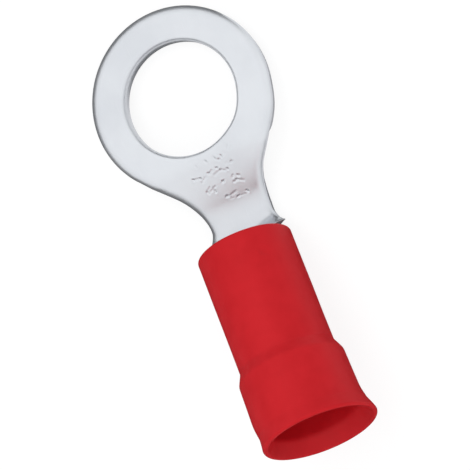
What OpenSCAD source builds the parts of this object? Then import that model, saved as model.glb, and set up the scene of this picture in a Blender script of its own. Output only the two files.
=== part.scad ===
// Insulated ring terminal: a stamped and rolled copper terminal in a moulded vinyl sleeve.
// Row frame: origin at the stud hole's centre on the tongue's underside, +Z up out of the
// tongue, +X towards the wire entry. The barrel has a frame of its own, set by at_barrel().

/* [Ring] */
// Outside diameter of the ring
ring_d = 8.4; // [7.6:0.1:9.6]
// Diameter of the stud hole
stud_hole_d = 5.2; // [4.2:0.1:5.6]
// Thickness of the sheet that the whole terminal is stamped from
sheet_t = 0.8; // [0.6:0.05:0.9]

/* [Neck] */
// Width of the neck between ring and barrel
neck_w = 3; // [2.4:0.1:3.3]
// Angle between the neck's length and the straight shoulders that run to it from the ring
shoulder_deg = 40; // [36:1:46]
// Radius of the hollow curve from a shoulder into the neck
neck_blend_r = 3; // [2.4:0.1:3.6]
// Distance from the stud hole's centre to the sleeve's front end
hole_to_sleeve = 7.35; // [7:0.05:11]

/* [Step from the ring's level down to the barrel's bottom wall] */
// Height of the barrel's axis above the tongue's underside, at the sleeve's front end
axis_height = 0.5; // [0:0.05:1]
// Angle at which the barrel rises from the tongue's plane
barrel_rise_deg = 6; // [0:0.5:8]
// Slope of the step between its two bends
step_slope_deg = 28; // [24:1:40]
// Radius of the upper bend, at the middle of the sheet
upper_bend_r = 0.9; // [0.6:0.05:1.2]
// Radius of the lower bend, at the middle of the sheet
lower_bend_r = 2.5; // [0.9:0.1:2.8]
// Straight stretch between the lower bend and the sleeve's front end
step_to_sleeve = 1.35; // [1.3:0.05:2]

/* [Barrel] */
// Bore of the barrel, for the bare conductor
barrel_bore_d = 1.7; // [1.4:0.05:2.2]
// Distance from the sleeve's front end to the barrel's back end
barrel_len = 5.2; // [4:0.1:7]
// Width of the open seam along the barrel's top
seam_gap = 0.08; // [0.04:0.01:0.2]
// How far the flat sheet stands in from the barrel's round, inside and out
flat_inset = 0.03; // [0.02:0.01:0.06]
// Distance in front of the sleeve at which the sheet's edges start to curl up
curl_start = 1.3; // [1:0.05:1.4]
// Slope at which the curled edges rise to close the barrel
curl_rise_deg = 50; // [45:1:60]
// Number of grip grooves in the bore
groove_count = 3; // [1:1:4]
// Width of one grip groove
groove_w = 0.3; // [0.2:0.05:0.4]
// Depth of one grip groove
groove_depth = 0.1; // [0.05:0.01:0.2]
// Distance from one grip groove to the next
groove_pitch = 0.9; // [0.6:0.05:0.9]
// Bevel round the barrel's back edge, inside
bore_bevel = 0.2; // [0.1:0.05:0.3]

/* [Sleeve] */
// Wall of the sleeve over the barrel
sleeve_wall = 0.52; // [0.4:0.02:0.8]
// Radial clearance between barrel and sleeve
sleeve_fit = 0.03; // [0.02:0.01:0.08]
// Radius of the sleeve's front edge
front_edge_r = 0.15; // [0.1:0.05:0.35]
// Sleeve behind the barrel's back end, before the outside steps up
seat_len = 0.43; // [0.3:0.01:0.8]
// Length of the outside step
step_len = 0.55; // [0.3:0.05:0.8]
// Length of the wide back section, up to the flared mouth
back_len = 2.55; // [2:0.05:4]
// Inside diameter of the wide back section, for the wire's insulation
insulation_d = 4.1; // [3.7:0.05:4.8]
// Wall of the wide back section
back_wall = 0.43; // [0.35:0.01:0.6]
// Length of the flared mouth
flare_len = 0.72; // [0.4:0.02:1.2]
// How far the flared mouth widens on each side
flare_out = 0.24; // [0.1:0.02:0.4]
// Wall of the mouth's rounded lip
lip_t = 0.3; // [0.2:0.02:0.34]
// Length of the funnel that leads the strands into the barrel
funnel_len = 1.2; // [0.8:0.05:2]
// Gap between the barrel's back end and the funnel
end_gap = 0.05; // [0.03:0.01:0.15]
// Step from the barrel's bore out to the narrow end of the funnel
funnel_lip = 0.1; // [0.05:0.01:0.2]

/* [Hidden] */
$fn = 96;
ring_r = ring_d / 2;
neck_half = neck_w / 2;
bore_r = barrel_bore_d / 2;
barrel_r = bore_r + sheet_t;
reach = 4 * (hole_to_sleeve + barrel_len);
// Flat steps that stand for each curve of the neck's outline and each bend
curve_steps = 10;
// Direction square to a shoulder, and where the hollow curve's centre stands
off_shoulder = [sin(shoulder_deg), cos(shoulder_deg)];
blend_y = neck_half + neck_blend_r;
blend_x = (ring_r + neck_blend_r - blend_y * off_shoulder.y) / off_shoulder.x;
// Directions along the step and along the barrel, and square to both
along_step = [cos(step_slope_deg), -sin(step_slope_deg)];
above_step = [sin(step_slope_deg), cos(step_slope_deg)];
along_barrel = [cos(barrel_rise_deg), sin(barrel_rise_deg)];
above_barrel = [-sin(barrel_rise_deg), cos(barrel_rise_deg)];
// The sheet's middle line, from the barrel back to the ring, with the centres of its two bends
half_t = sheet_t / 2;
barrel_front = [hole_to_sleeve, axis_height];
bottom_wall_r = bore_r + half_t - flat_inset;
lower_end = barrel_front - step_to_sleeve * along_barrel - bottom_wall_r * above_barrel;
lower_centre = lower_end + lower_bend_r * above_barrel;
slope_foot = lower_centre - lower_bend_r * above_step;
slope_top_z = half_t - upper_bend_r * (1 - cos(step_slope_deg));
slope_top = slope_foot - (slope_top_z - slope_foot.y) / sin(step_slope_deg) * along_step;
upper_centre = slope_top - upper_bend_r * above_step;
// Stations along the sleeve, from its front end, and its radii
seat_x = barrel_len + end_gap;
step_x = barrel_len + seat_len;
back_x = step_x + step_len;
flare_x = back_x + back_len;
sleeve_len = flare_x + flare_len;
sleeve_bore_r = barrel_r + sleeve_fit;
front_r = sleeve_bore_r + sleeve_wall;
insulation_r = insulation_d / 2;
back_r = insulation_r + back_wall;
mouth_r = back_r + flare_out;
funnel_r = bore_r + funnel_lip;
copper_grey = [0.84, 0.85, 0.87];
vinyl_red = [0.76, 0.13, 0.16];

// Places its children in the barrel's frame: origin on the barrel's axis at the sleeve's front
// end, +X along the bore to the wire entry.
module at_barrel() {
    translate([barrel_front.x, 0, barrel_front.y]) rotate([0, -barrel_rise_deg, 0]) children();
}

// Turns a shape drawn about +Z so that it lies about +X.
module along_x() {
    rotate([0, 90, 0]) children();
}

// The neck seen from above, with a straight shoulder and a hollow curve on each side.
module neck_plan() {
    curve = [for (i = [0 : curve_steps]) 270 - shoulder_deg + i / curve_steps * shoulder_deg];
    edge = [
        0.99 * ring_r * off_shoulder,
        for (a = curve) [blend_x, blend_y] + neck_blend_r * [cos(a), sin(a)],
        [blend_x + hole_to_sleeve, neck_half]
    ];
    last = len(edge) - 1;
    polygon([[0, 0], each edge, for (i = [last : -1 : 0]) [edge[i].x, -edge[i].y]]);
}

// One edge of the sheet seen from the side, standing off the middle line by the given amount.
function side_edge(off) = [
    [-ring_r - 1, half_t + off],
    for (i = [0 : curve_steps]) let (a = 90 - i / curve_steps * step_slope_deg)
        upper_centre + (upper_bend_r + off) * [cos(a), sin(a)],
    for (i = [0 : curve_steps])
        let (a = -90 - step_slope_deg + i / curve_steps * (step_slope_deg + barrel_rise_deg))
        lower_centre + (lower_bend_r - off) * [cos(a), sin(a)],
    lower_end + (step_to_sleeve + curl_start) * along_barrel + off * above_barrel
];

// The tongue seen from the side: level ring, step down, and the barrel's bottom wall.
module tongue_side() {
    top = side_edge(half_t);
    bottom = side_edge(-half_t);
    polygon([each bottom, for (i = [len(top) - 1 : -1 : 0]) top[i]]);
}

// The room that the sheet may fill: free in front, drawn in to the barrel's round at the sleeve.
module drawn_in_room() {
    corner_r = norm([neck_half, barrel_r]);
    at_barrel() {
        translate([-reach - curl_start, -reach / 2, -reach / 2]) cube(reach);
        translate([-curl_start, 0, 0]) along_x()
            cylinder(h = curl_start, r1 = corner_r + flat_inset, r2 = barrel_r - flat_inset);
    }
}

// The flat stamped part with its step.
module tongue() {
    intersection() {
        translate([0, 0, -reach / 2]) union() {
            cylinder(h = reach, r = ring_r);
            linear_extrude(height = reach) neck_plan();
        }
        rotate([90, 0, 0]) linear_extrude(height = 2 * ring_d, center = true) tongue_side();
        drawn_in_room();
    }
}

// The rolled barrel: its front slopes down to the tongue, and its seam lies on top.
module barrel() {
    difference() {
        translate([-curl_start, 0, 0]) along_x() cylinder(h = barrel_len + curl_start, r = barrel_r);
        translate([-curl_start - 1, 0, 0]) along_x() cylinder(h = barrel_len + curl_start + 2, r = bore_r);
        translate([-curl_start, -reach / 2, -bore_r]) rotate([0, -curl_rise_deg, 0])
            translate([-reach / 2, 0, 0]) cube(reach);
        translate([-curl_start, -seam_gap / 2, 0]) cube([reach, seam_gap, reach]);
        translate([barrel_len - bore_bevel, 0, 0]) along_x()
            cylinder(h = 2 * bore_bevel, r1 = bore_r, r2 = bore_r + 2 * bore_bevel);
        for (i = [1 : groove_count]) translate([barrel_len - i * groove_pitch, 0, 0]) along_x()
            cylinder(h = groove_w, r = bore_r + groove_depth);
    }
}

// The whole copper terminal, one piece of sheet.
module terminal() {
    color(copper_grey) difference() {
        union() {
            tongue();
            at_barrel() barrel();
        }
        translate([0, 0, -1]) cylinder(h = sheet_t + 2, d = stud_hole_d);
    }
}

// Half of the sleeve's section, with the radius along X and the length along Y.
module sleeve_section() {
    lip_r = lip_t / 2;
    polygon([
        [sleeve_bore_r, 0], [front_r - front_edge_r, 0], [front_r, front_edge_r], [front_r, step_x],
        [back_r, back_x], [back_r, flare_x], [mouth_r, sleeve_len - lip_r],
        [mouth_r - lip_t, sleeve_len - lip_r], [insulation_r, flare_x], [insulation_r, seat_x + funnel_len],
        [funnel_r, seat_x], [sleeve_bore_r, seat_x]
    ]);
    translate([front_r - front_edge_r, front_edge_r]) circle(r = front_edge_r);
    translate([mouth_r - lip_r, sleeve_len - lip_r]) circle(r = lip_r);
}

// The moulded vinyl sleeve over the barrel.
module sleeve() {
    color(vinyl_red) at_barrel() along_x() rotate_extrude() sleeve_section();
}

terminal();
sleeve();
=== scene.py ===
import math

import bmesh
import bpy
import numpy as np
from mathutils import Matrix, Vector


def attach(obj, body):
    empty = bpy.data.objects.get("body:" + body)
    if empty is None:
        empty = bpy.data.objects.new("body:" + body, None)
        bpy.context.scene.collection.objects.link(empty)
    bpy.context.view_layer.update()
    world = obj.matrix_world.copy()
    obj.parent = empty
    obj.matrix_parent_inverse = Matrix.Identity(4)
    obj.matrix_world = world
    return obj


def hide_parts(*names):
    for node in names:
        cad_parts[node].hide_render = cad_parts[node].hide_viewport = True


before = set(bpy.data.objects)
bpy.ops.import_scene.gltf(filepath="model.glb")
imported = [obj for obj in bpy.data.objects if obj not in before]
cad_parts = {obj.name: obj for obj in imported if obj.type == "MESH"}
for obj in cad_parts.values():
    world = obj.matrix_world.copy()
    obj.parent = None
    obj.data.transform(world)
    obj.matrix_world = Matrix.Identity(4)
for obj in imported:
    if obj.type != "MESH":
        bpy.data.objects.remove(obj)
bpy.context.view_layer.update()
mm = 0.001  # every size below is in millimetres
weldDistance = 0.001 * mm
print("frame loaded:", ", ".join(sorted(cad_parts)))


# The barrel's own frame: its origin is on the axis at the sleeve's front end, and it runs to the wire entry
barrel = {
    "front": (7.35, 0.0, 0.5),
    "riseDeg": 6.0,
    "length": 5.2,
    "middleRadius": 1.25,  # at the middle of the rolled sheet
}
rise = math.radians(barrel["riseDeg"])
barrelFront = Vector(barrel["front"])
alongBarrel = Vector((math.cos(rise), 0, math.sin(rise)))
acrossBarrel = Vector((0, 1, 0))
aboveBarrel = Vector((-math.sin(rise), 0, math.cos(rise)))


def fromBarrel(along, across, above):
    return alongBarrel * along + acrossBarrel * across + aboveBarrel * above


def smooth(x, low, high):
    # 0 below low, 1 above high, an easy curve between
    t = np.clip((np.asarray(x, float) - low) / (high - low), 0, 1)
    return t * t * (3 - 2 * t)


class Socket:
    # a node's output that takes part in sums; each sum adds a Math node
    def __init__(self, graph, socket):
        self.graph = graph
        self.socket = socket

    def __add__(self, other):
        return self.graph.math("ADD", self, other)

    def __radd__(self, other):
        return self.graph.math("ADD", other, self)

    def __sub__(self, other):
        return self.graph.math("SUBTRACT", self, other)

    def __rsub__(self, other):
        return self.graph.math("SUBTRACT", other, self)

    def __mul__(self, other):
        return self.graph.math("MULTIPLY", self, other)

    def __rmul__(self, other):
        return self.graph.math("MULTIPLY", other, self)

    def __abs__(self):
        return self.graph.math("ABSOLUTE", self)


class Graph:
    # a node tree, the one way that nodes are added to it, and the nodes that are used most
    def __init__(self, tree):
        self.tree = tree

    def add(self, kind, settings=None, inputs=None, output=0):
        node = self.tree.nodes.new(kind)
        for name, value in (settings or {}).items():
            setattr(node, name, value)
        for name, value in (inputs or {}).items():
            self.feed(node.inputs[name], value)
        return Socket(self, node.outputs[output]) if len(node.outputs) else node

    def feed(self, socket, value):
        if isinstance(value, Socket):
            self.tree.links.new(value.socket, socket)
        else:
            socket.default_value = value

    def math(self, operation, *values):
        return self.add("ShaderNodeMath", {"operation": operation}, dict(enumerate(values)))

    def smoothRange(self, value, low, high, start=0.0, end=1.0):
        ranged = {"Value": value, "From Min": low, "From Max": high, "To Min": start, "To Max": end}
        return self.add("ShaderNodeMapRange", {"interpolation_type": "SMOOTHSTEP"}, ranged)

    def noise(self, vector, scale, detail=2.0):
        return self.add("ShaderNodeTexNoise", inputs={"Vector": vector, "Scale": scale, "Detail": detail})

    def blend(self, factor, first, second):
        # the Mix node's colours are its inputs 6 and 7, and their blend is its output 2
        colors = {0: factor, 6: first, 7: second}
        return self.add("ShaderNodeMix", {"data_type": "RGBA"}, colors, 2)

    def bump(self, height):
        return self.add("ShaderNodeBump", inputs={"Strength": 1.0, "Distance": mm, "Height": height})


def finishMesh(name, mesh):
    # closes the joins, turns the faces outwards and makes the piece
    bm = bmesh.new()
    bm.from_mesh(mesh)
    bmesh.ops.remove_doubles(bm, verts=bm.verts, dist=weldDistance)
    bmesh.ops.recalc_face_normals(bm, faces=bm.faces)
    openEdges = sum(1 for edge in bm.edges if not edge.is_manifold)
    volume = bm.calc_volume() / mm**3
    print(f"{name}: {len(bm.faces)} faces, {openEdges} open edges, {volume:.1f} cubic millimetres")
    bm.to_mesh(mesh)
    bm.free()
    mesh.shade_smooth()
    piece = bpy.data.objects.new(name, mesh)
    bpy.context.scene.collection.objects.link(piece)
    return piece


# The terminal: one piece of sheet, cut flat, stepped down and rolled into the barrel
terminal = {
    "ringRadius": 4.2,
    "holeRadius": 2.6,
    "sheet": 0.8,
    "neckHalf": 1.5,
    "shoulderDeg": 40.0,
    "blendRadius": 3.0,  # hollow curve from each shoulder into the neck
    "upperBend": (2.641, -0.5, 0.9),  # place, height and radius of the step's two bends, seen from the side
    "lowerBend": (5.874, 1.632, 2.5),
    "slopeDeg": 28.0,
    "lowerEnd": (6.135, -0.854),  # where the lower bend ends, and how far that is from the sleeve
    "bendToSleeve": 1.35,
    "wallInset": 0.03,  # how far the flat sheet stands in from the barrel's round
    "seamGap": 0.08,
    "rollStart": -1.15,  # places along the barrel, from the sleeve's front end
    "rollEnd": -0.02,
    "flareStart": -1.62,
    "flareEnd": 1.8,
    "neckShift": 0.1,  # how far the neck stands to one side, and where it leaves and comes back
    "shiftFrom": (2.2, 4.0),
    "shiftTo": (5.6, 6.8),
    "shoulderFull": 0.18,  # how much fuller the shoulder on that side is, and where
    "fullAcross": (0.8, 2.6),
    "fullFrom": (0.8, 3.0),
    "fullTo": (2.9, 4.3),
    "bendSkew": 0.2,  # how much later the step starts on that side, and where it catches up
    "skewTo": (3.2, 5.8),
    "topEdge": 0.42,  # width of the edge that the punch has drawn down, and how deep it goes as a share
    "topDrop": 0.65,
    "topSteps": 12,
    "holeShare": 0.45,  # width of the same edge round the hole, as a share
    "breakSetback": 0.06,  # how far the broken half of the cut edge stands in
    "breakRows": ((0, 0.04), (0.15, 0), (0.45, -0.1), (0.75, -0.22)),  # share of that, and height
    "bottomEdge": 0.06,
    "bottomSteps": 4,
    "grooves": 3,
    "grooveWidth": 0.3,
    "grooveDepth": 0.1,
    "grooveSlope": 0.06,
    "groovePitch": 0.9,
    "stepRing": 0.1,  # lengths of the mesh's steps, and its loops across the two faces of the ring
    "stepBlend": 0.06,
    "stepAcross": 0.06,
    "stepAlong": 0.075,
    "loopsTop": 110,
    "loopsBottom": 24,
}

# Worn marks pressed into the neck: rows of their place along, first and last place across, and count
marks = {
    "rows": ((2.95, -0.6, 1.05, 5), (3.5, -1.0, 0.85, 6), (4.1, -0.75, 0.95, 5), (4.7, -0.1, 0.7, 3)),
    "reach": (2.5, 5.5),  # the stretch of the neck that they may touch
    "strokeLength": (0.14, 0.42),
    "strokeTurn": (60, 120),
    "strokeDepth": (0.005, 0.018),
    "pitLength": (0.0, 0.09),
    "pitTurn": (0, 180),
    "pitDepth": (0.012, 0.036),
    "spread": 0.16,
    "width": 0.075,
    "pressed": (0.2, 1.0),  # shares of the width at which a mark's side starts and ends
    "lipRise": (0.8, 1.2),
    "lipFall": (1.2, 2.2),
    "lip": 0.12,  # height of the lip of metal round a mark, as a share of its depth
    "seed": 23,
}


def rimProfile(part):
    # inset from the outline and height in the sheet, from the top face round to the bottom face
    half = part["sheet"] / 2
    top, bottom, setback = part["topEdge"], part["bottomEdge"], part["breakSetback"]
    rows = []
    for i in range(part["topSteps"] + 1):
        a = math.pi / 2 * i / part["topSteps"]
        rows.append((top * (1 - math.sin(a)), half - part["topDrop"] * top * (1 - math.cos(a))))
    rows += [(share * setback, height) for share, height in part["breakRows"]]
    for i in range(part["bottomSteps"] + 1):
        a = math.pi / 2 * i / part["bottomSteps"]
        rows.append((setback + bottom * (1 - math.cos(a)), -half + bottom * (1 - math.sin(a))))
    return rows


def ringOutline(part):
    # points and outward normals, from the neck's +Y corner round the ring to its -Y corner
    radius, blendRadius = part["ringRadius"], part["blendRadius"]
    shoulder = math.radians(part["shoulderDeg"])
    leave = math.pi / 2 - shoulder
    square = np.array((math.cos(leave), math.sin(leave)))
    sideY = part["neckHalf"] + blendRadius
    side = np.array(((radius + blendRadius - sideY * square[1]) / square[0], sideY))
    points, normals = [], []
    blendSteps = round(shoulder * blendRadius / part["stepBlend"])
    for i in range(blendSteps):
        a = math.pi / 2 - shoulder * i / blendSteps
        outward = np.array((math.cos(a), math.sin(a)))
        points.append(side - blendRadius * outward)
        normals.append(outward)
    foot = side - blendRadius * square
    line = radius * square - foot
    lineSteps = round(np.linalg.norm(line) / part["stepBlend"])
    for i in range(lineSteps):
        points.append(foot + line * i / lineSteps)
        normals.append(square)
    arc = 2 * (math.pi - leave)
    ringSteps = round(arc * radius / part["stepRing"])
    for i in range(ringSteps + 1):
        a = leave + arc * i / ringSteps
        outward = np.array((math.cos(a), math.sin(a)))
        points.append(radius * outward)
        normals.append(outward)
    mirror = np.array((1, -1))
    points += [points[i] * mirror for i in reversed(range(blendSteps + lineSteps))]
    normals += [normals[i] * mirror for i in reversed(range(blendSteps + lineSteps))]
    return np.array(points), np.array(normals), side[0]


def placeAlong(part, u):
    # place along the barrel, for a distance from the hole's centre
    return (u - part["lowerEnd"][0]) / math.cos(rise) - part["bendToSleeve"]


def fromPlace(part, s):
    return part["lowerEnd"][0] + (s + part["bendToSleeve"]) * math.cos(rise)


def blankHalf(part, s):
    # half width of the flat blank at a place along the barrel
    full = math.pi * barrel["middleRadius"] - part["seamGap"] / 2
    return part["neckHalf"] + (full - part["neckHalf"]) * smooth(s, part["flareStart"], part["flareEnd"])


def grooveStarts(part):
    return [barrel["length"] - (i + 1) * part["groovePitch"] for i in range(part["grooves"])]


def middleLine(part, u):
    # height and tilt of the sheet's middle line over the distance from the hole's centre
    slope = math.radians(part["slopeDeg"])
    (upperX, upperZ, upperR), (lowerX, lowerZ, lowerR) = part["upperBend"], part["lowerBend"]
    endX, endZ = part["lowerEnd"]
    topFoot = upperX + upperR * math.sin(slope)
    lowFoot = lowerX - lowerR * math.sin(slope)
    over = np.clip(u - upperX, 0, upperR * math.sin(slope))
    under = np.clip(u - lowerX, -lowerR * math.sin(slope), lowerR * math.sin(rise))
    pieces = [u <= topFoot, u <= lowFoot, u <= endX]
    heights = [
        upperZ + np.sqrt(upperR**2 - over**2),
        upperZ + upperR * math.cos(slope) - (u - topFoot) * math.tan(slope),
        lowerZ - np.sqrt(lowerR**2 - under**2),
    ]
    tilts = [-np.arcsin(over / upperR), np.full_like(u, -slope), np.arcsin(under / lowerR)]
    z = np.select(pieces, heights, endZ + (u - endX) * math.tan(rise))
    return z, np.select(pieces, tilts, rise)


def formSheet(part, flat):
    # bends and rolls the blank: its columns are the distance along, across and the height in the sheet
    u, v, w = flat.T
    oneSide = smooth(v, *part["fullAcross"])
    late = part["bendSkew"] * oneSide * (1 - smooth(u, *part["skewTo"]))
    z, tilt = middleLine(part, u - late)
    full = part["shoulderFull"] * oneSide * smooth(u, *part["fullFrom"]) * (1 - smooth(u, *part["fullTo"]))
    shift = part["neckShift"] * smooth(u, *part["shiftFrom"]) * (1 - smooth(u, *part["shiftTo"]))
    v = v + full + shift

    # rolled: the sheet lies round a circle whose curvature grows to the barrel's
    rolled = smooth(placeAlong(part, u), part["rollStart"], part["rollEnd"])
    z = z - part["wallInset"] * rolled
    curl = rolled / barrel["middleRadius"]
    isFlat = curl < 1e-6
    curl = np.where(isFlat, 1, curl)
    y = np.where(isFlat, v, np.sin(curl * v) * (1 / curl - w))
    h = np.where(isFlat, w, (1 - np.cos(curl * v)) / curl + w * np.cos(curl * v))
    return np.stack([u - h * np.sin(tilt), y, z + h * np.cos(tilt)], 1)


def grooveDent(part, flat):
    s = placeAlong(part, flat[:, 0])
    edge = part["grooveSlope"]
    dent = np.zeros(len(flat))
    for low in grooveStarts(part):
        high = low + part["grooveWidth"]
        dent += smooth(s, low, low + edge) * (1 - smooth(s, high - edge, high))
    return dent * part["grooveDepth"] * smooth(flat[:, 2], 0, part["sheet"] / 2)


def markDent(part, worn, flat):
    # at each place a long faint stroke and a short deeper pit, each with its own direction
    rng = np.random.default_rng(worn["seed"])
    first, final = worn["reach"]
    onTop = flat[:, 2] > part["sheet"] / 2 - 0.001
    near = np.where(onTop & (flat[:, 0] > first) & (flat[:, 0] < final))[0]
    at = flat[near, :2]
    total = np.zeros(len(near))
    places = [(u, v) for u, low, high, count in worn["rows"] for v in np.linspace(low, high, count)]
    for u, v in places:
        for kind in ("stroke", "pit"):
            turn = math.radians(rng.uniform(*worn[kind + "Turn"]))
            direction = np.array((math.cos(turn), math.sin(turn)))
            half = rng.uniform(*worn[kind + "Length"]) / 2
            depth = rng.uniform(*worn[kind + "Depth"])
            offset = at - np.array((u, v)) - rng.uniform(-worn["spread"], worn["spread"], 2)
            t = np.clip(offset @ direction, -half, half)
            gap = np.linalg.norm(offset - t[:, None] * direction, axis=1) / worn["width"]
            pressed = 1 - smooth(gap, *worn["pressed"])
            lip = smooth(gap, *worn["lipRise"]) * (1 - smooth(gap, *worn["lipFall"]))
            total += depth * (pressed - worn["lip"] * lip)
    dent = np.zeros(len(flat))
    dent[near] = total
    return dent


def rowPlaces(part, neckX, backX):
    # shares of the way from the neck's cross line to the barrel's back end, with rows on each groove's slopes
    places = set(np.linspace(0, 1, round((backX - neckX) / part["stepAlong"]) + 1))
    for low in grooveStarts(part):
        for edge in (low, low + part["grooveWidth"] - part["grooveSlope"]):
            for share in (0, 0.33, 0.67, 1):
                x = fromPlace(part, edge + share * part["grooveSlope"])
                places.add((x - neckX) / (backX - neckX))
    return np.array(sorted(places))


def joinPatches(patches):
    # the points and faces of all grids, of which some close on themselves round the ring
    verts, faces = [], []
    for grid, closed in patches:
        rows, columns = grid.shape[:2]
        index = len(verts) + np.arange(rows * columns).reshape(rows, columns)
        if closed:
            index = np.concatenate([index, index[:, :1]], 1)
        verts.extend(grid.reshape(-1, 3))
        quads = np.stack([index[:-1, :-1], index[1:, :-1], index[1:, 1:], index[:-1, 1:]], -1)
        faces.extend(quads.reshape(-1, 4).tolist())
    return np.array(verts), faces


def makeTerminal(part, worn, material):
    profile = rimProfile(part)
    rims = range(len(profile))
    points, normals, neckX = ringOutline(part)
    across = np.linspace(-1, 1, 2 * round(part["neckHalf"] / part["stepAcross"]) + 1)
    backX = fromPlace(part, barrel["length"])
    places = rowPlaces(part, neckX, backX)

    def outline(k):
        return points - profile[k][0] * normals

    def crossLine(k):
        v = across * (part["neckHalf"] - profile[k][0])
        return np.stack([np.full_like(v, neckX), v], 1)

    def withHeight(flat, w):
        return np.concatenate([flat, np.full((*flat.shape[:-1], 1), w)], -1)

    def plate(k, loops):
        # the face between the hole and the outline, closed by the neck's cross line
        edge = np.concatenate([crossLine(k)[:-1], outline(k)])[:-1]
        outward = edge / np.linalg.norm(edge, axis=1)[:, None]
        hole = outward * (part["holeRadius"] + part["holeShare"] * profile[k][0])
        t = np.linspace(0, 1, loops)[:, None, None]
        return withHeight(hole + (edge - hole) * t, profile[k][1])

    def neck(k):
        u = neckX + (backX - profile[k][0] - neckX) * places
        half = blankHalf(part, placeAlong(part, u)) - profile[k][0]
        flat = np.stack([np.repeat(u[:, None], len(across), 1), half[:, None] * across], -1)
        return withHeight(flat, profile[k][1])

    necks = [neck(k) for k in rims]
    flat, faces = joinPatches([
        (plate(0, part["loopsTop"]), True),
        (plate(rims[-1], part["loopsBottom"]), True),
        (np.stack([withHeight(outline(k), profile[k][1]) for k in rims]), False),
        (np.stack([plate(k, 2)[0] for k in rims]), True),
        (necks[0], False),
        (necks[-1], False),
        (np.stack([rows[:, -1] for rows in necks]), False),
        (np.stack([rows[:, 0] for rows in necks]), False),
        (np.stack([rows[-1] for rows in necks]), False),
    ])
    flat[:, 2] -= grooveDent(part, flat) + markDent(part, worn, flat)

    mesh = bpy.data.meshes.new("ringTerminal")
    mesh.from_pydata((formSheet(part, flat) * mm).tolist(), [], faces)
    mesh.materials.append(material)
    return finishMesh("ringTerminal", mesh)


# The sleeve: a moulded section turned round the barrel's axis, its mouth a little off centre
sleeve = {
    "boreRadius": 1.68,
    "frontRadius": 2.2,
    "frontTaper": 0.02,  # how much wider the front section is where the step begins
    "seatAt": 5.25,  # places along the sleeve, from its front end
    "stepAt": 5.63,
    "backAt": 6.18,
    "backRadius": 2.47,
    "flareAt": 8.73,
    "flareRadius": 2.55,
    "mouthRadius": 2.72,
    "length": 9.45,
    "insulationRadius": 2.05,
    "funnelRadius": 0.95,
    "funnelLength": 1.2,
    "lip": 0.22,
    "frontRounding": (0.08, 0.13),  # roundings inside and outside at the front, then of each later corner
    "stepRounding": 0.35,
    "flareRounding": (0.5, 0.6),
    "lipRounding": 0.13,
    "funnelRounding": (0.04, 0.4),
    "seatRounding": 0.02,
    "stepAlong": 0.1,
    "stepDeg": 9.0,
}
sleeveNodes = {
    "Steps Round": 180,
    "Path Radius": 2.0 * mm,
    "Front Radius": 2.2 * mm,
    "Mouth Lean": 0.19 * mm,
    "Lean From": 7.9 * mm,
    "Lean To": 9.45 * mm,
    "Gate Place": 1.25 * mm,
    "Gate Turn": math.radians(35),
    "Gate Radius": 0.32 * mm,
    "Gate Floor": 0.3,
    "Gate Depth": 0.05 * mm,
    "Wave Height": 0.03 * mm,
    "Wave Scale": 380.0,
    "Seed": 3.0,
}


def sectionCorners(part):
    # place along the sleeve, radius, and rounding of each corner
    frontInside, frontOutside = part["frontRounding"]
    flareInside, flareOutside = part["flareRounding"]
    funnelFront, funnelBack = part["funnelRounding"]
    return [
        (0, part["boreRadius"], frontInside),
        (0, part["frontRadius"], frontOutside),
        (part["stepAt"], part["frontRadius"] + part["frontTaper"], part["stepRounding"]),
        (part["backAt"], part["backRadius"], part["stepRounding"]),
        (part["flareAt"], part["flareRadius"], flareOutside),
        (part["length"], part["mouthRadius"], part["lipRounding"]),
        (part["length"], part["mouthRadius"] - part["lip"], part["lipRounding"]),
        (part["flareAt"], part["insulationRadius"], flareInside),
        (part["seatAt"] + part["funnelLength"], part["insulationRadius"], funnelBack),
        (part["seatAt"], part["funnelRadius"], funnelFront),
        (part["seatAt"], part["boreRadius"], part["seatRounding"]),
    ]


def roundedLoop(part, corners):
    # walks the closed line, with an arc at each corner and even steps between arcs
    arcs = []
    for i, (x, r, radius) in enumerate(corners):
        here = np.array((x, r), float)
        before = np.array(corners[i - 1][:2]) - here
        after = np.array(corners[(i + 1) % len(corners)][:2]) - here
        before = before / np.linalg.norm(before)
        after = after / np.linalg.norm(after)
        halfTurn = math.acos(np.clip(before @ after, -1, 1)) / 2
        inward = (before + after) / np.linalg.norm(before + after)
        centre = here + inward * radius / math.sin(halfTurn)
        start = here + before * radius / math.tan(halfTurn) - centre
        finish = here + after * radius / math.tan(halfTurn) - centre
        sweep = math.pi - 2 * halfTurn
        steps = max(3, math.ceil(math.degrees(sweep) / part["stepDeg"]))
        arc = []
        for t in (sweep * j / steps for j in range(steps + 1)):
            arc.append(centre + (start * math.sin(sweep - t) + finish * math.sin(t)) / math.sin(sweep))
        arcs.append(arc)
    loop = []
    for i, arc in enumerate(arcs):
        gap = arcs[(i + 1) % len(arcs)][0] - arc[-1]
        cuts = int(np.linalg.norm(gap) // part["stepAlong"])
        loop += arc + [arc[-1] + gap * (j + 1) / (cuts + 1) for j in range(cuts)]
    return np.array(loop)


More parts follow.
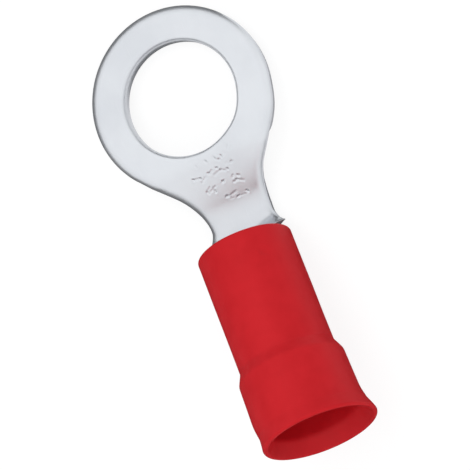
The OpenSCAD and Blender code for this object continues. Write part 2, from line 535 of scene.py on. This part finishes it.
def sleeveTree(inputs):
    tree = bpy.data.node_groups.new("turnedSleeve", "GeometryNodeTree")
    kinds = {"Section": "NodeSocketGeometry", "Material": "NodeSocketMaterial"}
    for name, value in inputs.items():
        kinds[name] = "NodeSocketInt" if isinstance(value, int) else "NodeSocketFloat"
    for name, kind in kinds.items():
        tree.interface.new_socket(name, in_out="INPUT", socket_type=kind)
    tree.interface.new_socket("Sleeve", in_out="OUTPUT", socket_type="NodeSocketGeometry")
    g = Graph(tree)
    given = {name: g.add("NodeGroupInput", output=name) for name in kinds}

    # carry the section round a circle; the axis is Z here and the sleeve's top is -X
    section = g.add("GeometryNodeMeshToCurve", inputs={"Mesh": given["Section"]})
    ring = {"Resolution": given["Steps Round"], "Radius": given["Path Radius"]}
    circle = g.add("GeometryNodeCurvePrimitiveCircle", inputs=ring)
    turned = g.add("GeometryNodeCurveToMesh", inputs={"Curve": circle, "Profile Curve": section})

    # the mouth leans to one side
    place = g.add("GeometryNodeInputPosition")
    along = g.add("ShaderNodeSeparateXYZ", inputs={"Vector": place}, output="Z")
    lean = g.smoothRange(along, given["Lean From"], given["Lean To"]) * given["Mouth Lean"]
    offset = g.add("ShaderNodeCombineXYZ", inputs={"Y": lean})
    leaned = g.add("GeometryNodeSetPosition", inputs={"Geometry": turned, "Offset": offset})

    # a shallow gate mark, and the faint waves of a moulded wall; the normals still point inwards here
    turn, gateRadius = given["Gate Turn"], given["Gate Radius"]
    gateX = g.math("COSINE", turn) * given["Front Radius"] * -1
    gateY = g.math("SINE", turn) * given["Front Radius"]
    gate = g.add("ShaderNodeCombineXYZ", inputs={"X": gateX, "Y": gateY, "Z": given["Gate Place"]})
    away = g.add("ShaderNodeVectorMath", {"operation": "DISTANCE"}, {0: place, 1: gate}, "Value")
    dimple = g.smoothRange(away, given["Gate Floor"] * gateRadius, gateRadius, 1, 0)
    seed = g.add("ShaderNodeCombineXYZ", inputs={"X": given["Seed"]})
    shifted = g.add("ShaderNodeVectorMath", {"operation": "ADD"}, {0: place, 1: seed})
    wave = g.noise(shifted, given["Wave Scale"]) - 0.5
    push = wave * given["Wave Height"] + dimple * given["Gate Depth"]
    normal = g.add("GeometryNodeInputNormal")
    bulge = g.add("ShaderNodeVectorMath", {"operation": "SCALE"}, {0: normal, "Scale": push})
    moulded = g.add("GeometryNodeSetPosition", inputs={"Geometry": leaned, "Offset": bulge})

    # put the axis along the barrel
    toBarrel = {
        "Geometry": moulded,
        "Translation": tuple(barrelFront * mm),
        "Rotation": (0, math.pi / 2 - rise, 0),
    }
    placed = g.add("GeometryNodeTransform", inputs=toBarrel)
    real = g.add("GeometryNodeRealizeInstances", inputs={"Geometry": placed})
    done = g.add("GeometryNodeSetMaterial", inputs={"Geometry": real, "Material": given["Material"]})
    g.add("NodeGroupOutput", inputs={"Sleeve": done})
    return tree


def makeSleeve(part, inputs, material):
    loop = roundedLoop(part, sectionCorners(part))
    section = bpy.data.meshes.new("sleeveSection")
    verts = [(r * mm - inputs["Path Radius"], -x * mm, 0) for x, r in loop]
    section.from_pydata(verts, [(i, (i + 1) % len(verts)) for i in range(len(verts))], [])
    maker = bpy.data.objects.new("sleeveMaker", section)
    bpy.context.scene.collection.objects.link(maker)
    modifier = maker.modifiers.new("turn", "NODES")
    modifier.node_group = sleeveTree(inputs)
    values = {**inputs, "Material": material}
    for item in modifier.node_group.interface.items_tree:
        if item.in_out == "INPUT" and item.name in values:
            modifier[item.identifier] = values[item.name]
    bpy.context.view_layer.update()
    evaluated = maker.evaluated_get(bpy.context.evaluated_depsgraph_get())
    mesh = bpy.data.meshes.new_from_object(evaluated)
    maker.modifiers.remove(modifier)
    bpy.data.objects.remove(maker)
    return finishMesh("vinylSleeve", mesh)


def newMaterial(name, emptied=False):
    material = bpy.data.materials.new(name)
    material.use_nodes = True
    if emptied:
        material.node_tree.nodes.clear()
    return material, Graph(material.node_tree)


def feedShader(g, inputs):
    shader = g.tree.nodes["Principled BSDF"]
    for name, value in inputs.items():
        g.feed(shader.inputs[name], value)


# Tin plating: dull silver-white, with faint clouds, fine scuffs and the streaks of the cut edge
tin = {
    "light": (0.785, 0.81, 0.845, 1),
    "dark": (0.69, 0.715, 0.755, 1),
    "cloudScale": 320.0,
    "cloudRange": (0.3, 0.7),
    "cloudTone": 0.75,
    "edge": (0.38, 0.39, 0.42, 1),  # greyer: partly the thinner plating where the punch has drawn and cut the sheet, partly painted shade for the dark reflections along the edges
    "edgePlateAndShadeShare": 0.28,
    "edgePlateAndShadeLevel": (0.4, 0.84),  # how level a face is where it is all edge, and where it is none of it
    "metallic": 0.77,
    "roughness": 0.36,
    "cloudRoughness": 0.18,
    "scuffScale": 900.0,
    "scuffStretch": 11.0,
    "scuffTurns": (17, -38),
    "scuffRange": (0.6, 0.74),
    "scuffTone": 0.2,
    "scuffRoughness": 0.05,
    "grainScale": 7000.0,
    "grainHeight": 0.0016,
    "streakScale": 5200.0,
    "streakHeight": 0.006,
    "streakDrawn": 0.03,  # scale along the streaks
    "streakLevel": (0.25, 0.6),  # the same for the streaks
    "streakRoughness": 0.06,
}


def tinMaterial(finish):
    material, g = newMaterial("tinPlate")
    place = g.add("ShaderNodeTexCoord", output="Object")
    cloud = g.noise(place, finish["cloudScale"], 3)

    def scuffsAt(degrees):
        stretch = (1, finish["scuffStretch"], finish["scuffStretch"])
        turned = {"Vector": place, "Rotation": (0, 0, math.radians(degrees)), "Scale": stretch}
        lines = g.noise(g.add("ShaderNodeMapping", inputs=turned), finish["scuffScale"], 4)
        return g.smoothRange(lines, *finish["scuffRange"])

    first, second = (scuffsAt(degrees) for degrees in finish["scuffTurns"])
    scuffs = first + second
    tone = g.smoothRange(cloud, *finish["cloudRange"]) * finish["cloudTone"] + scuffs * finish["scuffTone"]
    plated = g.blend(tone, finish["dark"], finish["light"])

    # faces that stand up belong to the edge: they are greyer, partly as thinner plating and partly as painted
    # shade for the dark reflections along the edges, and the cut one has streaks across it
    facing = g.add("ShaderNodeNewGeometry", output="Normal")
    level = abs(g.add("ShaderNodeSeparateXYZ", inputs={"Vector": facing}, output="Z"))
    drawn = g.smoothRange(level, *finish["edgePlateAndShadeLevel"], 1, 0)
    cut = g.smoothRange(level, *finish["streakLevel"], 1, 0)
    flattened = {"Vector": place, "Scale": (1, 1, finish["streakDrawn"])}
    streak = g.noise(g.add("ShaderNodeMapping", inputs=flattened), finish["streakScale"])
    grain = g.noise(place, finish["grainScale"])
    worn = (cloud - 0.5) * finish["cloudRoughness"] + scuffs * finish["scuffRoughness"]
    feedShader(g, {
        "Base Color": g.blend(drawn * finish["edgePlateAndShadeShare"], plated, finish["edge"]),
        "Metallic": finish["metallic"],
        "Roughness": finish["roughness"] + worn + cut * finish["streakRoughness"],
        "Normal": g.bump(streak * cut * finish["streakHeight"] + grain * finish["grainHeight"]),
    })
    return material


# Moulded vinyl: one deep red, with faint flow lines along the sleeve and a fine matt grain
vinyl = {
    "deep": (0.52, 0.007, 0.012, 1),
    "bright": (0.58, 0.011, 0.017, 1),
    "specular": 0.16,
    "roughness": 0.48,
    "flowScale": 300.0,
    "flowDrawn": 0.25,  # scale along the flow lines
    "flowShare": 0.7,
    "toneRange": (0.36, 0.64),
    "mottleScale": 1500.0,
    "mottleHeight": 0.006,
    "mottleRoughness": 0.2,
    "grainScale": 5200.0,
    "grainHeight": 0.0035,
    "grainRoughness": 0.1,
}


def vinylMaterial(finish):
    material, g = newMaterial("redVinyl")
    place = g.add("ShaderNodeTexCoord", output="Object")
    axis = {"Vector": place, "Location": tuple(barrelFront * mm), "Rotation": (0, -rise, 0)}
    onSleeve = g.add("ShaderNodeMapping", {"vector_type": "TEXTURE"}, axis)
    drawn = g.add("ShaderNodeMapping", inputs={"Vector": onSleeve, "Scale": (finish["flowDrawn"], 1, 1)})
    flow = g.noise(drawn, finish["flowScale"], 3)
    mottle = g.noise(onSleeve, finish["mottleScale"], 3)
    grain = g.noise(place, finish["grainScale"])
    lines = flow * finish["flowShare"] + mottle * (1 - finish["flowShare"])
    tone = g.smoothRange(lines, *finish["toneRange"])
    matt = (mottle - 0.5) * finish["mottleRoughness"] + (grain - 0.5) * finish["grainRoughness"]
    feedShader(g, {
        "Base Color": g.blend(tone, finish["deep"], finish["bright"]),
        "Specular IOR Level": finish["specular"],
        "Roughness": finish["roughness"] + matt,
        "Normal": g.bump(grain * finish["grainHeight"] + mottle * finish["mottleHeight"]),
    })
    return material


ringTerminal = makeTerminal(terminal, marks, tinMaterial(tin))
vinylSleeve = makeSleeve(sleeve, sleeveNodes, vinylMaterial(vinyl))

for piece, node, slotName in (
    (ringTerminal, "terminal", "tinned_copper"),
    (vinylSleeve, "sleeve", "red_vinyl"),
):
    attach(piece, "root")
    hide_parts(node)
print("pieces placed")


def seenWhite(g):
    # 1 for what is seen straight, by reflection or through glass, where the surroundings are plain white
    rays = ("Is Camera Ray", "Is Glossy Ray", "Is Transmission Ray")
    straight, mirrored, through = (g.add("ShaderNodeLightPath", output=ray) for ray in rays)
    return g.math("MAXIMUM", g.math("MAXIMUM", straight, mirrored), through)


def studioPiece(name, verts, faces, material):
    mesh = bpy.data.meshes.new(name)
    mesh.from_pydata(verts, [], faces)
    mesh.materials.append(material)
    piece = bpy.data.objects.new(name, mesh)
    bpy.context.scene.collection.objects.link(piece)
    return piece


# The floor, tilted so that the part rests on it as it would on a table
floor = {
    "tipUnder": (-4.17, 0.0),  # where the part touches the floor: the ring's tip and the sleeve
    "sleeveUnder": (7.8, -1.665),
    "gap": 0.02,  # how far below the part it lies
    "size": 1200.0,
    "white": (0.85, 0.85, 0.85, 1),
    "glow": 1.08,
    "glowShare": 0.8,
}


def floorHeight(part, x):
    (tipX, tipZ), (underX, underZ) = part["tipUnder"], part["sleeveUnder"]
    return tipZ + (x - tipX) * (underZ - tipZ) / (underX - tipX) - part["gap"]


def makeFloor(part):
    half = part["size"] / 2
    corners = ((-half, -half), (half, -half), (half, half), (-half, half))
    verts = [(x * mm, y * mm, floorHeight(part, x) * mm) for x, y in corners]
    material, g = newMaterial("paleFloor", emptied=True)
    plain = g.add("ShaderNodeBsdfDiffuse", inputs={"Color": part["white"]})
    glow = g.add("ShaderNodeEmission", inputs={"Strength": part["glow"]})
    both = {"Fac": seenWhite(g) * part["glowShare"], 1: plain, 2: glow}
    g.add("ShaderNodeOutputMaterial", inputs={"Surface": g.add("ShaderNodeMixShader", inputs=both)})
    studioPiece("floor", verts, [(0, 1, 2, 3)], material)


# A dark card that only reflections show, painting shade on the metal's edges: under the ring, the neck and
# the sleeve it is painted shadow in place of the part's shade on the floor; it spreads to one side and stands
# up far off as a painted dark surround
card = {
    "tone": (0.02, 0.02, 0.02, 1),
    "height": 0.01,  # above the floor
    "opening": (0.6, -0.25, 2.6),  # middle and radius of its round opening
    "rimRadius": 4.2,
    "rimSpread": 0.45,  # how much further the rim reaches towards one azimuth
    "rimAzimuth": 35,
    "spreadRadius": 60,
    "spreadAzimuths": (135, 350),
    "wallTop": (62, 28),  # radius and height of the standing part's upper edge
    "wallAzimuths": (135, 365),
    "sheetHeight": 0.002,
    # sheets of painted shadow under the neck and the sleeve, seen only in reflections
    "neckShadeSheet": ((4.2, -1.5), (6.6, -1.5), (6.6, 1.8), (4.2, 2.3)),
    "sleeveShadeSheet": ((6.6, -9), (26, -9), (26, 9), (6.6, 9)),
}


def makeCard(part, ground):
    middleX, middleY, opening = part["opening"]
    spreadRadius, (wallRadius, wallHeight) = part["spreadRadius"], part["wallTop"]
    verts, faces = [], []

    def addVert(x, y, h):
        verts.append((x * mm, y * mm, (floorHeight(ground, x) + part["height"] + h) * mm))

    for i in range(360):
        a = math.radians(i)
        c, s = math.cos(a), math.sin(a)
        rim = part["rimRadius"] + part["rimSpread"] * max(0, math.cos(a - math.radians(part["rimAzimuth"])))
        addVert(middleX + opening * c, middleY + opening * s, 0)
        addVert(rim * c, rim * s, 0)
        addVert(spreadRadius * c, spreadRadius * s, 0)
        addVert(wallRadius * c, wallRadius * s, wallHeight)
    for band, (first, final) in enumerate(((0, 360), part["spreadAzimuths"], part["wallAzimuths"])):
        for i in range(first, final):
            here, after = i % 360 * 4 + band, (i + 1) % 360 * 4 + band
            faces.append((here, after, after + 1, here + 1))
    for sheet in (part["neckShadeSheet"], part["sleeveShadeSheet"]):
        faces.append(tuple(len(verts) + i for i in range(len(sheet))))
        for x, y in sheet:
            addVert(x, y, part["sheetHeight"])

    material, g = newMaterial("reflectedShadeCard", emptied=True)
    dark = g.add("ShaderNodeBsdfDiffuse", inputs={"Color": part["tone"]})
    g.add("ShaderNodeOutputMaterial", inputs={"Surface": dark})
    piece = studioPiece("reflectedShadeCard", verts, faces, material)
    piece.visible_camera = False
    piece.visible_diffuse = False
    piece.visible_shadow = False
    piece.visible_transmission = False


# A soft sky, brightest overhead
sky = {
    "color": (0.98, 0.99, 1, 1),
    "side": 0.5,
    "top": 0.92,
    "heights": (0.1, 0.85),  # between which it goes from the side's light to the top's
}


def makeSky(part):
    world = bpy.data.worlds.new("softSky")
    bpy.context.scene.world = world
    world.use_nodes = True
    world.node_tree.nodes.clear()
    g = Graph(world.node_tree)
    direction = g.add("ShaderNodeTexCoord", output="Generated")
    up = g.add("ShaderNodeSeparateXYZ", inputs={"Vector": direction}, output="Z")
    level = g.smoothRange(up, *part["heights"], part["side"], part["top"])
    soft = g.add("ShaderNodeBackground", inputs={"Color": part["color"], "Strength": level})
    white = g.add("ShaderNodeBackground", inputs={"Color": (1, 1, 1, 1), "Strength": 1.0})
    both = {"Fac": seenWhite(g), 1: soft, 2: white}
    g.add("ShaderNodeOutputWorld", inputs={"Surface": g.add("ShaderNodeMixShader", inputs=both)})


# Two soft round lamps that face the ring: place, width and power of each
lamps = {
    "softLamp": ((-120, -50, 360), 220, 0.27),
    "mouthLamp": ((260, 0, 140), 160, 0.16),
}


def makeLamp(name, place, width, power):
    data = bpy.data.lights.new(name, "AREA")
    data.shape = "DISK"
    data.size = width * mm
    data.energy = power
    lamp = bpy.data.objects.new(name, data)
    lamp.location = Vector(place) * mm
    lamp.rotation_euler = Vector(place).to_track_quat("Z", "Y").to_euler()
    lamp.visible_glossy = False
    bpy.context.scene.collection.objects.link(lamp)


makeFloor(floor)
makeCard(card, floor)
makeSky(sky)
for name, (place, width, power) in lamps.items():
    makeLamp(name, place, width, power)
print("studio ready")


# The camera looks down on the part, a little from the mouth's side; its turns are in the barrel's frame
view = {
    "tiltDeg": 19.8,
    "rollDeg": 14.6,
    "turnDeg": 21.3,
    "width": 20.8472,  # what it sees across the picture, at the part
    "right": 0.392,  # where the barrel's front lies from the middle of the picture
    "down": 0.502,
    "distance": 400.0,
    "sensor": 36.0,
    "clipStart": 10.0,
}


def makeCamera(part):
    tilt, roll, turn = (math.radians(part[name]) for name in ("tiltDeg", "rollDeg", "turnDeg"))
    along = fromBarrel(math.cos(tilt), -math.sin(roll) * math.sin(tilt), -math.cos(roll) * math.sin(tilt))
    across = fromBarrel(0, math.cos(roll), -math.sin(roll))
    back = fromBarrel(math.sin(tilt), math.sin(roll) * math.cos(tilt), math.cos(roll) * math.cos(tilt))
    right = along * math.sin(turn) + across * math.cos(turn)
    down = along * math.cos(turn) - across * math.sin(turn)
    data = bpy.data.cameras.new("camera")
    data.sensor_width = part["sensor"]
    data.lens = part["distance"] / part["width"] * part["sensor"]
    data.clip_start = part["clipStart"] * mm
    camera = bpy.data.objects.new("camera", data)
    aim = barrelFront - right * part["right"] - down * part["down"]
    place = Matrix((right, -down, back)).transposed().to_4x4()
    place.translation = (aim + back * part["distance"]) * mm
    camera.matrix_world = place
    bpy.context.scene.collection.objects.link(camera)
    bpy.context.scene.camera = camera


makeCamera(view)
bpy.context.scene.view_settings.view_transform = "Standard"
print("camera placed")
